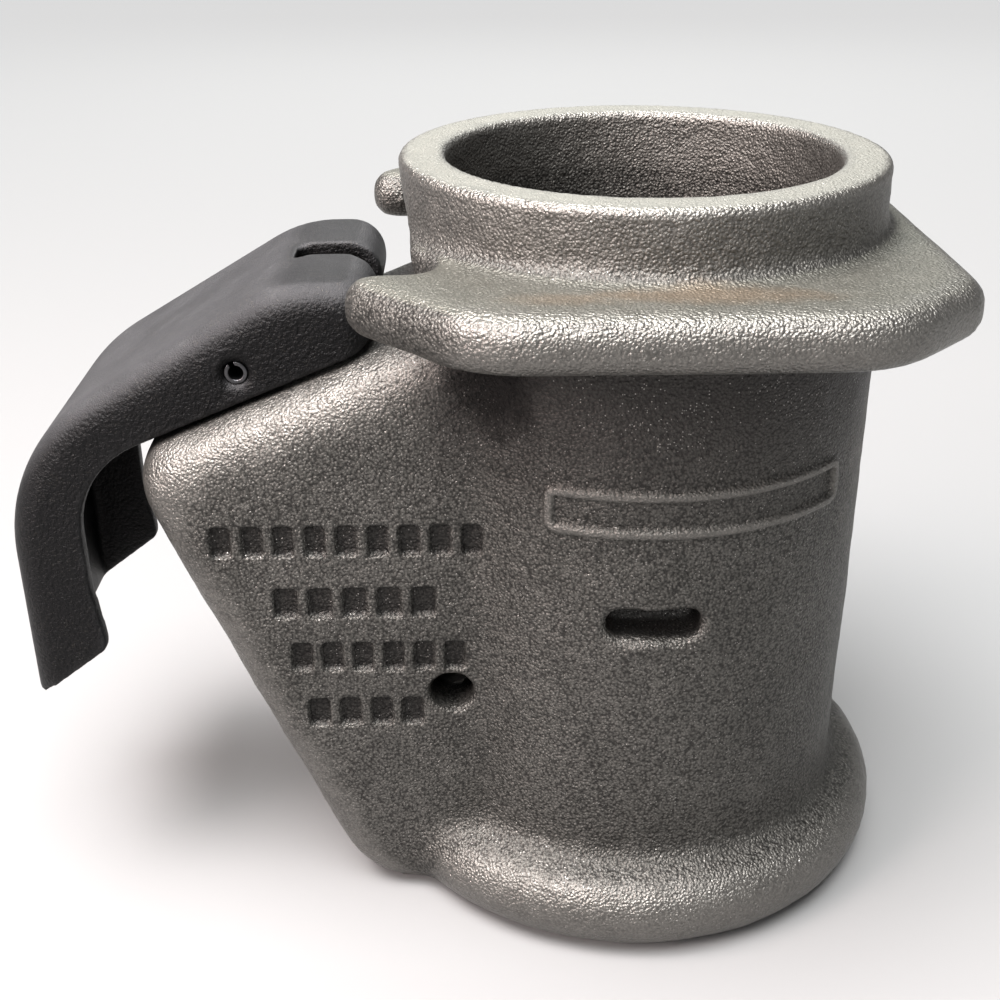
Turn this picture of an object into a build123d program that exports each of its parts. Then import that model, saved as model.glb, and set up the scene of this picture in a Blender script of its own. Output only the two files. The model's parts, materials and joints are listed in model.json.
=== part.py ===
from build123d import *
import os
from math import cos, radians, sin, sqrt, tan

# Round gooseneck ball coupler with a spring latch. Millimetres, +Z up. The origin is on the barrel's axis
# at the bottom lip. The latch housing leans out towards -X, and the lever handle sits on top of it.

os.makedirs("parts", exist_ok=True)

# ---- Barrel, ring and bottom lip ----
overall_height = 164.5
spigot_dia = 101.6          # pilots inside a 4 inch schedule 40 tube
ring_bore_dia = 82.0
ring_height = 13.7
rim_round = 1.5
ring_root_round = 3.5
barrel_dia = 102.8
bead_radius = 9.9           # rounded flare round the bottom lip
bead_dia = 125.0            # over the flare
lip_flat_width = 4.0

# ---- Ball socket ----
ball_dia = 58.74            # 2-5/16 inch hitch ball
seat_clearance = 0.43
throat_clearance = 0.9
ball_centre_height = 41.5
mouth_height = 26.0
bore_floor_height = 77.0

# ---- Flange ----
flange_thickness = 11.2
flange_back_x = 61.0        # to the ears, over the housing
flange_end_x = 58.5         # to the opposite end
flange_half_y = 70.5
flange_back_cut = 25.0      # each corner is cut off at 45 degrees
flange_end_cut = 20.0
flange_side_round = 24.0
flange_end_round = 12.0
flange_ear_round = 7.2
flange_edge_round = 4.6
flange_root_round = 4.0
notch_back_x = 44.5
ear_bevel = 3.0
ear_tip_round = 4.4
notch_corner_round = 4.0

# ---- Latch housing ----
lean = 22.5                 # degrees that the latch's line of travel leans back from vertical
housing_half_width = 38.0
housing_back = 58.8         # barrel axis to the housing's back face, square to the line of travel
housing_top = 141.8         # bottom lip to the housing's top face, along the line of travel
housing_inner_x = 32.0
housing_top_round = 9.5
housing_foot_round = 16.0
housing_edge_round = 8.0
blend_radius = 9.0
housing_wall = 8.3
top_wall = 9.0
pocket_half_width = 26.0
pocket_floor = 30.5
pocket_front = 9.6
pocket_step = 79.0
chamber_front = 15.0
pocket_corner_round = 5.0
pocket_clearance = 0.3

# ---- Drain slots and safety pin hole ----
slot_length = 19.5
slot_height = 7.3
slot_centre_height = 79.5
slot_corner_round = 2.8
safety_hole_dia = 9.525
safety_hole_back = 17.0
safety_hole_up = 67.3

# ---- Latch block, stem and spring ----
block_shoulder = 62.0       # stays just under the safety pin
block_top = 76.0
block_face = 10.0
block_step = 23.0
block_lead_in = 6.0
stem_dia = 12.0
stem_back = 28.9
stem_foot = 45.0
stem_eye_thickness = 10.0
eye_start = 143.2
running_clearance = 0.06
bush_dia = 18.0
block_pin_dia = 5.0
block_pin_up = 54.0
washer_dia = 25.0
washer_thickness = 3.0
upper_washer_thickness = 2.0
washer_clearance = 0.3
spring_wire_dia = 3.2
spring_outer_dia = 22.0
spring_turns = 8.0

# ---- Handle ----
pin_up = 148.8              # handle pin, along the line of travel
roll_pin_dia = 4.76
roll_pin_bore = 3.0
roll_pin_gap = 1.0
roll_pin_recess = 1.0
handle_half_width = 29.0
handle_wall = 4.0
handle_web = 3.4
handle_top_z = 144.3
handle_end_x = 55.6
handle_back_x = 135.5
handle_slope = 30.4         # degrees
handle_knee_x = 74.4        # where the flat top turns down
handle_nose_round = 7.5
handle_knee_radius = 28.0
handle_bend_radius = 42.0
handle_inner_x = 119.4
handle_inner_radius = 22.5
handle_seat_gap = 0.9       # side walls to the housing's top
heel_radius = 6.6
grip_swell_z = 78.0
grip_end_x = 117.3
grip_end_z = 62.2
grip_tip_z = 47.9
grip_corner_round = 3.0
handle_edge_round = 6.5
handle_slot_half_width = 4.3
handle_slot_x = 73.4
boss_dia = 11.0
boss_gap = 0.5
pin_hole_recess_dia = 7.2

# ---- Construction ----
overcut = 1.0               # how far a cut runs past the face that it opens, or a blend into its neighbour
same_place = 0.01           # corners nearer than this are at one place

# ---- Values worked out from the ones above ----
barrel_radius = barrel_dia / 2
spigot_radius = spigot_dia / 2
bore_radius = ring_bore_dia / 2
bead_centre_radius = bead_dia / 2 - bead_radius
seat_radius = ball_dia / 2 + seat_clearance
throat_radius = ball_dia / 2 + throat_clearance
flange_top = overall_height - ring_height
flange_bottom = flange_top - flange_thickness
mouth_radius = bead_centre_radius - lip_flat_width
pocket_back = housing_back - housing_wall
chamber_ceiling = housing_top - top_wall
hinge_up = Vector(-sin(radians(lean)), 0, cos(radians(lean)))
hinge_out = Vector(cos(radians(lean)), 0, sin(radians(lean)))

# The latch frame: local x runs from the housing towards the barrel, and local y is the line of travel.
latch_side = Plane(origin=(0, 0, 0), x_dir=hinge_out, z_dir=(0, -1, 0))
ball_across = ball_centre_height * sin(radians(lean))


def travel_plane(up, across=-stem_back):
    """A plane square to the line of travel, with its origin on the stem's axis."""
    return Plane(origin=hinge_out * across + hinge_up * up, x_dir=hinge_out, z_dir=hinge_up)


def latch_point(across, up):
    """The X and Z of a point given in the latch frame."""
    place = hinge_out * across + hinge_up * up
    return (place.X, place.Z)


def top_line_z(x, up):
    """The height at x of a line square to the line of travel."""
    return (up + x * sin(radians(lean))) / cos(radians(lean))


def corners_at(sketch, x):
    """The sketch's corners at one x."""
    return sketch.vertices().filter_by(lambda corner: abs(corner.X - x) < same_place)


# ---- Flange, with the handle's notch between two ears ----
ear_tip_x = ear_bevel - flange_back_x
half_outline = [
    (-notch_back_x, housing_half_width),
    (ear_tip_x, housing_half_width),
    (-flange_back_x, flange_half_y - flange_back_cut),
    (flange_back_cut - flange_back_x, flange_half_y),
    (flange_end_x - flange_end_cut, flange_half_y),
    (flange_end_x, flange_half_y - flange_end_cut),
]
with BuildPart() as flange:
    with BuildSketch(Plane.XY.offset(flange_bottom)) as plan:
        with BuildLine():
            Polyline(*half_outline, *[(x, -y) for x, y in reversed(half_outline)], close=True)
        make_face()
        fillet(corners_at(plan, flange_back_cut - flange_back_x), flange_side_round)
        fillet(corners_at(plan, flange_end_x - flange_end_cut), flange_side_round)
        fillet(corners_at(plan, flange_end_x), flange_end_round)
        fillet(corners_at(plan, -flange_back_x), flange_ear_round)
        fillet(corners_at(plan, ear_tip_x), ear_tip_round)
        fillet(corners_at(plan, -notch_back_x), notch_corner_round)
    extrude(amount=flange_thickness)
    fillet(flange.faces().filter_by(Axis.Z).edges(), flange_edge_round)

# ---- Clearance for the handle's end: over the housing's top, and a scoop up the ring's side ----
with BuildPart() as scoop:
    with BuildSketch(Plane.XZ):
        far_x = -2 * flange_back_x
        scoop_top = overall_height - rim_round
        with BuildLine():
            Polyline(
                (-notch_back_x, top_line_z(-notch_back_x, housing_top - overcut)),
                (-spigot_radius, scoop_top),
                (far_x, scoop_top),
                (far_x, top_line_z(far_x, housing_top - overcut)),
                close=True,
            )
        make_face()
    extrude(amount=housing_half_width, both=True)

# ---- Latch housing ----
with BuildPart() as housing:
    with BuildSketch(Plane.XZ) as profile:
        foot_x = -housing_back / cos(radians(lean))
        with BuildLine():
            Polyline(
                (-housing_inner_x, 0),
                (-housing_inner_x, top_line_z(-housing_inner_x, housing_top)),
                latch_point(-housing_back, housing_top),
                (foot_x, 0),
                close=True,
            )
        make_face()
        fillet(corners_at(profile, latch_point(-housing_back, housing_top)[0]), housing_top_round)
        fillet(corners_at(profile, foot_x), housing_foot_round)
    extrude(amount=housing_half_width, both=True)
    rim = housing.faces().filter_by(Axis.Y).edges().filter_by(
        lambda edge: edge.center().X < -housing_inner_x - overcut)
    fillet(rim, housing_edge_round)

# ---- Concave blends between the housing's sides and the barrel ----
with BuildPart() as blends:
    reach = barrel_radius + blend_radius
    centre_y = housing_half_width + blend_radius
    centre_x = -sqrt(reach ** 2 - centre_y ** 2)
    with BuildSketch(Plane.XY.offset(bead_radius)):
        with BuildLine():
            Polyline(
                (centre_x, -housing_half_width),
                (centre_x / reach * barrel_radius, -centre_y / reach * barrel_radius),
                (centre_x / 2, -housing_half_width / 2),
                (centre_x, -housing_half_width / 2),
                close=True,
            )
        make_face()
        with Locations((centre_x, -centre_y)):
            Circle(blend_radius, mode=Mode.SUBTRACT)
    extrude(amount=flange_bottom - bead_radius + overcut)
    mirror(about=Plane.XZ)

# ---- The casting ----
with BuildPart() as coupler_body:
    with BuildSketch(Plane.XZ):
        root_r = spigot_radius + ring_root_round
        under_r = barrel_radius + flange_root_round
        with BuildLine():
            Polyline(
                (0, 0),
                (bead_centre_radius, 0),
                (bead_centre_radius, bead_radius),
                (barrel_radius, bead_radius),
                (barrel_radius, flange_bottom - flange_root_round),
            )
            RadiusArc((barrel_radius, flange_bottom - flange_root_round), (under_r, flange_bottom),
                      flange_root_round)
            Polyline((under_r, flange_bottom), (root_r, flange_top))
            RadiusArc((root_r, flange_top), (spigot_radius, flange_top + ring_root_round), ring_root_round)
            Polyline(
                (spigot_radius, flange_top + ring_root_round),
                (spigot_radius, overall_height),
                (0, overall_height),
                (0, 0),
            )
        make_face()
        with Locations((bead_centre_radius, bead_radius)):
            Circle(bead_radius)
    revolve(axis=Axis.Z)
    rim_edge = coupler_body.faces().sort_by(Axis.Z)[-1].edges()
    fillet(rim_edge, rim_round)
    add(flange.part)
    add(scoop.part, mode=Mode.SUBTRACT)
    add(housing.part)
    add(blends.part)

    # Upper bore, down to a flat floor over the ball seat.
    with BuildSketch(Plane.XY.offset(bore_floor_height)):
        Circle(bore_radius)
    extrude(amount=overall_height - bore_floor_height, mode=Mode.SUBTRACT)
    inner_rim = coupler_body.faces().filter_by(Axis.Z).sort_by(Axis.Z)[-1].edges().sort_by(SortBy.LENGTH)[0]
    fillet(inner_rim, rim_round)

    # Ball seat, throat and flared mouth.
    with Locations((0, 0, ball_centre_height)):
        Sphere(seat_radius, mode=Mode.SUBTRACT)
    with Locations((0, 0, ball_centre_height / 2)):
        Cylinder(throat_radius, ball_centre_height, mode=Mode.SUBTRACT)
    with Locations((0, 0, mouth_height / 2)):
        Cone(mouth_radius, throat_radius, mouth_height, mode=Mode.SUBTRACT)

    # Pocket for the latch block, and the spring chamber over it.
    with BuildSketch(travel_plane(pocket_floor, 0)):
        with Locations((-(pocket_back + pocket_front) / 2, 0)):
            RectangleRounded(pocket_back - pocket_front, 2 * pocket_half_width, pocket_corner_round)
    extrude(amount=pocket_step - pocket_floor, mode=Mode.SUBTRACT)
    with BuildSketch(travel_plane(pocket_step, 0)):
        with Locations((-(pocket_back + chamber_front) / 2, 0)):
            RectangleRounded(pocket_back - chamber_front, 2 * pocket_half_width, pocket_corner_round)
    extrude(amount=chamber_ceiling - pocket_step, mode=Mode.SUBTRACT)
    with BuildSketch(travel_plane(chamber_ceiling)):
        Circle(bush_dia / 2)
    extrude(amount=top_wall, mode=Mode.SUBTRACT)

    # Safety pin hole across the housing, and a drain slot through each side of the barrel.
    with BuildSketch(latch_side):
        with Locations((-safety_hole_back, safety_hole_up)):
            Circle(safety_hole_dia / 2)
    extrude(amount=housing_half_width + blend_radius, both=True, mode=Mode.SUBTRACT)
    for side in (-1, 1):
        with BuildSketch(Plane.XZ.offset(side * (bore_radius - rim_round))):
            with Locations((0, slot_centre_height)):
                RectangleRounded(slot_length, slot_height, slot_corner_round)
        extrude(amount=side * (barrel_radius - bore_radius + 2 * rim_round), mode=Mode.SUBTRACT)
coupler_body.part.label = "coupler_body"

# ---- Latch block ----
block_back = pocket_back - pocket_clearance
block_half_width = pocket_half_width - pocket_clearance
block_bottom = pocket_floor + pocket_clearance
with BuildPart() as latch_block:
    with BuildSketch(latch_side):
        with BuildLine():
            Polyline(
                (-block_back, block_bottom),
                (-block_face - block_lead_in, block_bottom),
                (-block_face, block_bottom + block_lead_in),
                (-block_face, block_shoulder),
                (-block_step, block_shoulder),
                (-block_step, block_top),
                (-block_back, block_top),
                close=True,
            )
        make_face()
    extrude(amount=block_half_width, both=True)
    upright = latch_block.edges().filter_by(Axis(origin=(0, 0, 0), direction=hinge_up))
    fillet(upright.filter_by(lambda edge: abs(edge.center().dot(hinge_out) + block_step) > overcut),
           pocket_corner_round - pocket_clearance)
    with BuildSketch(travel_plane(block_bottom - overcut, ball_across)):
        Circle(seat_radius)
    extrude(amount=block_top, mode=Mode.SUBTRACT)
    with BuildSketch(travel_plane(stem_foot)):
        Circle(stem_dia / 2)
    extrude(amount=block_top, mode=Mode.SUBTRACT)
    with BuildSketch(latch_side):
        with Locations((-stem_back, block_pin_up)):
            Circle(block_pin_dia / 2)
    extrude(amount=block_half_width, both=True, mode=Mode.SUBTRACT)
latch_block.part.label = "latch_block"

# ---- Stem ----
with BuildPart() as latch_stem:
    with BuildSketch(travel_plane(stem_foot)):
        Circle(stem_dia / 2)
    extrude(amount=pin_up - stem_foot)
    with BuildSketch(latch_side):
        with Locations((-stem_back, pin_up)):
            Circle(stem_dia / 2)
    extrude(amount=stem_eye_thickness / 2, both=True)
    eye_reach = stem_dia
    with BuildSketch(latch_side):
        with Locations((-stem_back, eye_start + eye_reach / 2)):
            Rectangle(2 * stem_dia, eye_reach)
        with Locations((-stem_back, pin_up)):
            Circle(stem_dia / 2, mode=Mode.SUBTRACT)
        with Locations((-stem_back, (eye_start + pin_up) / 2)):
            Rectangle(stem_dia, pin_up - eye_start, mode=Mode.SUBTRACT)
    extrude(amount=stem_dia, both=True, mode=Mode.SUBTRACT)
    for side in (-1, 1):
        with BuildSketch(Plane.XZ.offset(side * (stem_eye_thickness + stem_dia) / 2)):
            with Locations(latch_point(-stem_back, eye_start + eye_reach / 2)):
                Rectangle(2 * stem_dia, eye_reach, rotation=lean)
        extrude(amount=stem_dia / 2, both=True, mode=Mode.SUBTRACT)
    with BuildSketch(latch_side):
        with Locations((-stem_back, pin_up)):
            Circle(roll_pin_dia / 2 + running_clearance)
        with Locations((-stem_back, block_pin_up)):
            Circle(block_pin_dia / 2)
    extrude(amount=stem_dia, both=True, mode=Mode.SUBTRACT)
latch_stem.part.label = "latch_stem"

# ---- Pin through the block and the stem's foot ----
with BuildPart() as stem_block_pin:
    with BuildSketch(latch_side):
        with Locations((-stem_back, block_pin_up)):
            Circle(block_pin_dia / 2)
    extrude(amount=block_half_width - roll_pin_recess, both=True)
stem_block_pin.part.label = "stem_block_pin"

# ---- Washers at the spring's two ends ----
with BuildPart() as lower_spring_washer:
    with BuildSketch(travel_plane(block_top)):
        Circle(washer_dia / 2)
        Circle(stem_dia / 2 + washer_clearance, mode=Mode.SUBTRACT)
    extrude(amount=washer_thickness)
lower_spring_washer.part.label = "lower_spring_washer"

with BuildPart() as upper_spring_washer:
    with BuildSketch(travel_plane(chamber_ceiling)):
        Circle(washer_dia / 2)
        Circle(stem_dia / 2 + washer_clearance, mode=Mode.SUBTRACT)
    extrude(amount=-upper_washer_thickness)
upper_spring_washer.part.label = "upper_spring_washer"

# ---- Spring ----
spring_low = block_top + washer_thickness + spring_wire_dia / 2
spring_high = chamber_ceiling - upper_washer_thickness - spring_wire_dia / 2
with BuildPart() as latch_spring:
    with BuildLine() as coil:
        Helix(
            pitch=(spring_high - spring_low) / spring_turns,
            height=spring_high - spring_low,
            radius=(spring_outer_dia - spring_wire_dia) / 2,
            center=travel_plane(spring_low).origin,
            direction=hinge_up,
        )
    with BuildSketch(Plane(origin=coil.line @ 0, z_dir=coil.line % 0)):
        Circle(spring_wire_dia / 2)
    sweep(is_frenet=True)
latch_spring.part.label = "latch_spring"

# ---- Guide bush in the housing's top wall ----
with BuildPart() as stem_guide_bush:
    with BuildSketch(travel_plane(chamber_ceiling)):
        Circle(bush_dia / 2)
        Circle(stem_dia / 2 + running_clearance, mode=Mode.SUBTRACT)
    extrude(amount=top_wall)
stem_guide_bush.part.label = "stem_guide_bush"

# ---- Handle ----
slope_fall = (handle_back_x - handle_knee_x) * tan(radians(handle_slope))
wall_line = housing_top + handle_seat_gap
below_z = grip_tip_z - 2 * handle_half_width
beyond_x = handle_end_x - handle_wall
with BuildPart() as handle:
    # The lever's outline from its back, closed well below the side walls.
    with BuildSketch(Plane.XZ) as lever_side:
        with BuildLine():
            FilletPolyline(
                (-handle_end_x, below_z),
                (-handle_end_x, handle_top_z),
                (-handle_knee_x, handle_top_z),
                (-handle_back_x, handle_top_z - slope_fall),
                (-handle_back_x, below_z),
                radius=(handle_nose_round, handle_knee_radius, handle_bend_radius),
            )
            Line((-handle_back_x, below_z), (-handle_end_x, below_z))
        make_face()
    extrude(amount=handle_half_width, both=True)
    outer_edges = handle.faces().filter_by(Axis.Y).edges().filter_by(
        lambda edge: edge.center().Z > below_z + overcut)
    fillet(outer_edges, handle_edge_round)

    # The side walls' lower edges: the heel, over the housing, round the bend, and the grip's slanted tip.
    with BuildSketch(Plane.XZ):
        with BuildLine():
            FilletPolyline(
                (-handle_end_x, handle_top_z - handle_nose_round),
                (-handle_end_x, top_line_z(-handle_end_x, wall_line)),
                (-handle_inner_x, top_line_z(-handle_inner_x, wall_line)),
                (-handle_inner_x, grip_swell_z),
                (-grip_end_x, grip_end_z),
                (-handle_back_x - overcut, grip_tip_z),
                radius=(heel_radius, handle_inner_radius, handle_half_width, grip_corner_round),
            )
            Polyline(
                (-handle_back_x - overcut, grip_tip_z),
                (-handle_back_x - overcut, below_z - overcut),
                (-beyond_x, below_z - overcut),
                (-beyond_x, handle_top_z - handle_nose_round),
                (-handle_end_x, handle_top_z - handle_nose_round),
            )
        make_face()
    extrude(amount=handle_half_width, both=True, mode=Mode.SUBTRACT)

    # The hollow under the web, the bosses round the pin, and the slot in the web.
    with BuildSketch(Plane.XZ):
        offset(lever_side.sketch, amount=-handle_web)
    extrude(amount=handle_half_width - handle_wall, both=True, mode=Mode.SUBTRACT)
    boss_inside = stem_eye_thickness / 2 + boss_gap
    boss_length = handle_half_width - handle_wall / 2 - boss_inside
    for side in (-1, 1):
        with BuildSketch(latch_side.offset(side * (boss_inside + boss_length / 2))):
            with Locations((-stem_back, pin_up)):
                Circle(boss_dia / 2)
        extrude(amount=boss_length / 2, both=True)
    with BuildSketch(latch_side):
        with Locations((-stem_back, pin_up)):
            Circle(roll_pin_dia / 2)
    extrude(amount=handle_half_width, both=True, mode=Mode.SUBTRACT)
    for side in (-1, 1):
        with BuildSketch(latch_side.offset(side * handle_half_width)):
            with Locations((-stem_back, pin_up)):
                Circle(pin_hole_recess_dia / 2)
        extrude(amount=-side * roll_pin_recess, mode=Mode.SUBTRACT)
    slot_low = top_line_z(-handle_slot_x, wall_line)
    with BuildSketch(Plane.XY.offset(slot_low)):
        with Locations((-(handle_slot_x + beyond_x) / 2, 0)):
            Rectangle(handle_slot_x - beyond_x, 2 * handle_slot_half_width)
    extrude(amount=handle_top_z + overcut - slot_low, mode=Mode.SUBTRACT)
handle.part.label = "handle"

# ---- Roll pin through the handle and the stem's eye ----
with BuildPart() as handle_roll_pin:
    with BuildSketch(latch_side):
        with Locations((-stem_back, pin_up)):
            Circle(roll_pin_dia / 2)
            Circle(roll_pin_bore / 2, mode=Mode.SUBTRACT)
        with Locations((-stem_back, pin_up + roll_pin_dia / 2)):
            Rectangle(roll_pin_gap, roll_pin_dia, mode=Mode.SUBTRACT)
    extrude(amount=handle_half_width - roll_pin_recess, both=True)
handle_roll_pin.part.label = "handle_roll_pin"

for piece in (coupler_body, latch_block, latch_stem, stem_block_pin, lower_spring_washer,
              upper_spring_washer, latch_spring, stem_guide_bush, handle, handle_roll_pin):
    export_step(piece.part, f"parts/{piece.part.label}.step")
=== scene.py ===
import json
import logging
import math
from dataclasses import dataclass, field
from enum import Enum
from typing import Callable, Iterable, Optional

import bmesh
import bpy
import numpy as np
from mathutils import Matrix, Vector


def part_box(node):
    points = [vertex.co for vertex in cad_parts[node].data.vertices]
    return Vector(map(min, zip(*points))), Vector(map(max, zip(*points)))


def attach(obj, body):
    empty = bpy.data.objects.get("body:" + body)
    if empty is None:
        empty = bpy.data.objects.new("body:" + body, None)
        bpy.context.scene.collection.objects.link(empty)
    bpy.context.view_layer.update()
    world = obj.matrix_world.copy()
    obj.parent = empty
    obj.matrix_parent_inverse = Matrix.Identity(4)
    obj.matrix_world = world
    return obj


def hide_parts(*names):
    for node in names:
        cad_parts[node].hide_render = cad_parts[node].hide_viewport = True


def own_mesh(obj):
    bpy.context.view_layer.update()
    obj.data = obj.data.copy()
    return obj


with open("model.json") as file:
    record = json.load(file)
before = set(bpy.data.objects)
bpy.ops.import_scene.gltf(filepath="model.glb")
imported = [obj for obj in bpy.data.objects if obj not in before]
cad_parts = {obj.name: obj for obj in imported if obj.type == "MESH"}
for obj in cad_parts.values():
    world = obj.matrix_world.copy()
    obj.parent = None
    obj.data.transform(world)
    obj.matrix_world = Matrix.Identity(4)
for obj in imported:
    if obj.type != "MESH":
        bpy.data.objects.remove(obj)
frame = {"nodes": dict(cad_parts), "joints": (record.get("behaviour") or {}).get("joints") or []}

log = logging.getLogger("coupler")

MM = 0.001
Colour = tuple[float, float, float]
Place = tuple[float, float, float]
Span = tuple[float, float]


class Body(Enum):
    """The coupler's three moving bodies."""

    CASTING = "casting"
    LATCH = "latch"
    LEVER = "lever"


class Slot(Enum):
    """The record's material slots."""

    CAST_IRON = "cast_iron"
    BLOCK_IRON = "block_iron"
    BRIGHT_STEEL = "bright_steel"
    SPRING_STEEL = "spring_steel"
    BRONZE = "bronze"
    BLACK_MOULDING = "black_moulding"


# ---------------------------------------------------------------------------------------------------
# Node graphs
# ---------------------------------------------------------------------------------------------------


class Graph:
    """A thin layer over a node tree, so that a finish reads as a few lines of arithmetic."""

    def __init__(self, tree: bpy.types.NodeTree) -> None:
        """Wrap one tree.

        Args:
            tree: The shader or geometry tree to add nodes to.
        """
        self.tree = tree
        self.count = 0

    def node(self, kind: str, **settings: object) -> bpy.types.Node:
        """Add a node and set its properties.

        Args:
            kind: The node's Blender type name.
            settings: Properties of the node, by name.

        Returns:
            The new node.
        """
        made = self.tree.nodes.new(kind)
        made.location = (220.0 * (self.count // 6), -180.0 * (self.count % 6))
        self.count += 1
        for name, value in settings.items():
            setattr(made, name, value)
        return made

    def wired(self, kind: str, feeds: dict[int | str, object], **settings: object) -> bpy.types.Node:
        """Add a node and feed its inputs.

        Args:
            kind: The node's Blender type name.
            feeds: What each input is given, by the input's name or place.
            settings: Properties of the node, by name.

        Returns:
            The new node.
        """
        made = self.node(kind, **settings)
        for label, value in feeds.items():
            self.feed(made.inputs[label], value)
        return made

    def feed(self, socket: bpy.types.NodeSocket, value: object) -> None:
        """Link a socket to another, or set its constant.

        Args:
            socket: The input socket.
            value: An output socket, a number, a colour or a vector.
        """
        if isinstance(value, bpy.types.NodeSocket):
            self.tree.links.new(value, socket)
        elif isinstance(value, tuple) and len(value) == 3 and socket.type == "RGBA":
            socket.default_value = (*value, 1.0)
        else:
            socket.default_value = value

    def maths(self, operation: str, *values: object, clamp: bool = False) -> bpy.types.NodeSocket:
        """One Math node.

        Args:
            operation: The node's operation, such as MULTIPLY.
            values: Its inputs, in order.
            clamp: Whether the result is held between 0 and 1.

        Returns:
            The result's socket.
        """
        return self.wired("ShaderNodeMath", dict(enumerate(values)), operation=operation,
                          use_clamp=clamp).outputs[0]

    def step(self, value: object, low: float, high: float, start: float = 0.0,
             end: float = 1.0) -> bpy.types.NodeSocket:
        """A smooth change from start to end as value goes from low to high.

        Args:
            value: The socket that is read.
            low: Where the change begins.
            high: Where it is complete.
            start: The result at and below low.
            end: The result at and above high.

        Returns:
            The result's socket.
        """
        return self.wired("ShaderNodeMapRange", dict(enumerate((value, low, high, start, end))),
                          interpolation_type="SMOOTHSTEP", clamp=True).outputs[0]

    def mix(self, share: object, first: object, second: object) -> bpy.types.NodeSocket:
        """Mix two colours.

        Args:
            share: How much of the second, from 0 to 1.
            first: A colour or its socket.
            second: A colour or its socket.

        Returns:
            The mixed colour's socket.
        """
        return self.wired("ShaderNodeMix", {0: share, 6: first, 7: second}, data_type="RGBA",
                          clamp_factor=True).outputs[2]

    def over(self, mask: object, strength: float, first: object, second: object) -> bpy.types.NodeSocket:
        """Lay a colour over another by a mask at part of its strength.

        Args:
            mask: Where the second colour lies.
            strength: How much of it shows where the mask is 1.
            first: The colour below.
            second: The colour above.

        Returns:
            The mixed colour's socket.
        """
        return self.mix(self.maths("MULTIPLY", mask, strength), first, second)

    def place(self) -> bpy.types.NodeSocket:
        """The Object coordinates' socket, in metres."""
        return self.node("ShaderNodeTexCoord").outputs["Object"]

    def noise(self, place: object, size: float, detail: float = 3.0, rough: float = 0.55,
              twist: float = 0.0) -> bpy.types.NodeSocket:
        """A noise pattern whose blotches are about one size across.

        Args:
            place: The coordinates' socket.
            size: The blotches' size in metres.
            detail: How many finer layers are added.
            rough: How strong the finer layers are.
            twist: How far the pattern is distorted.

        Returns:
            The pattern's socket.
        """
        feeds = {"Vector": place, "Scale": 1.0 / size, "Detail": detail, "Roughness": rough,
                 "Distortion": twist}
        return self.wired("ShaderNodeTexNoise", feeds).outputs[0]

    def group(self, tree: bpy.types.NodeTree, **values: object) -> bpy.types.Node:
        """Place a node group with its own values.

        Args:
            tree: The group.
            values: Its inputs by name, with underscores for spaces.

        Returns:
            The group's node.
        """
        made = self.node("ShaderNodeGroup")
        made.node_tree = tree
        for name, value in values.items():
            self.feed(made.inputs[name.replace("_", " ")], value)
        return made


def new_group(name: str, inputs: dict[str, tuple[str, float]],
              outputs: Iterable[str]) -> tuple[Graph, bpy.types.Node, bpy.types.Node]:
    """Start a shader node group with named sockets.

    Args:
        name: The group's name.
        inputs: Each input's socket type and default value.
        outputs: The names of its number outputs.

    Returns:
        The group's graph, its input node and its output node.
    """
    tree = bpy.data.node_groups.new(name, "ShaderNodeTree")
    for label, (kind, value) in inputs.items():
        socket = tree.interface.new_socket(label, in_out="INPUT", socket_type=kind)
        if kind == "NodeSocketFloat":
            socket.default_value = value
    for label in outputs:
        tree.interface.new_socket(label, in_out="OUTPUT", socket_type="NodeSocketFloat")
    graph = Graph(tree)
    return graph, graph.node("NodeGroupInput"), graph.node("NodeGroupOutput")


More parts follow.
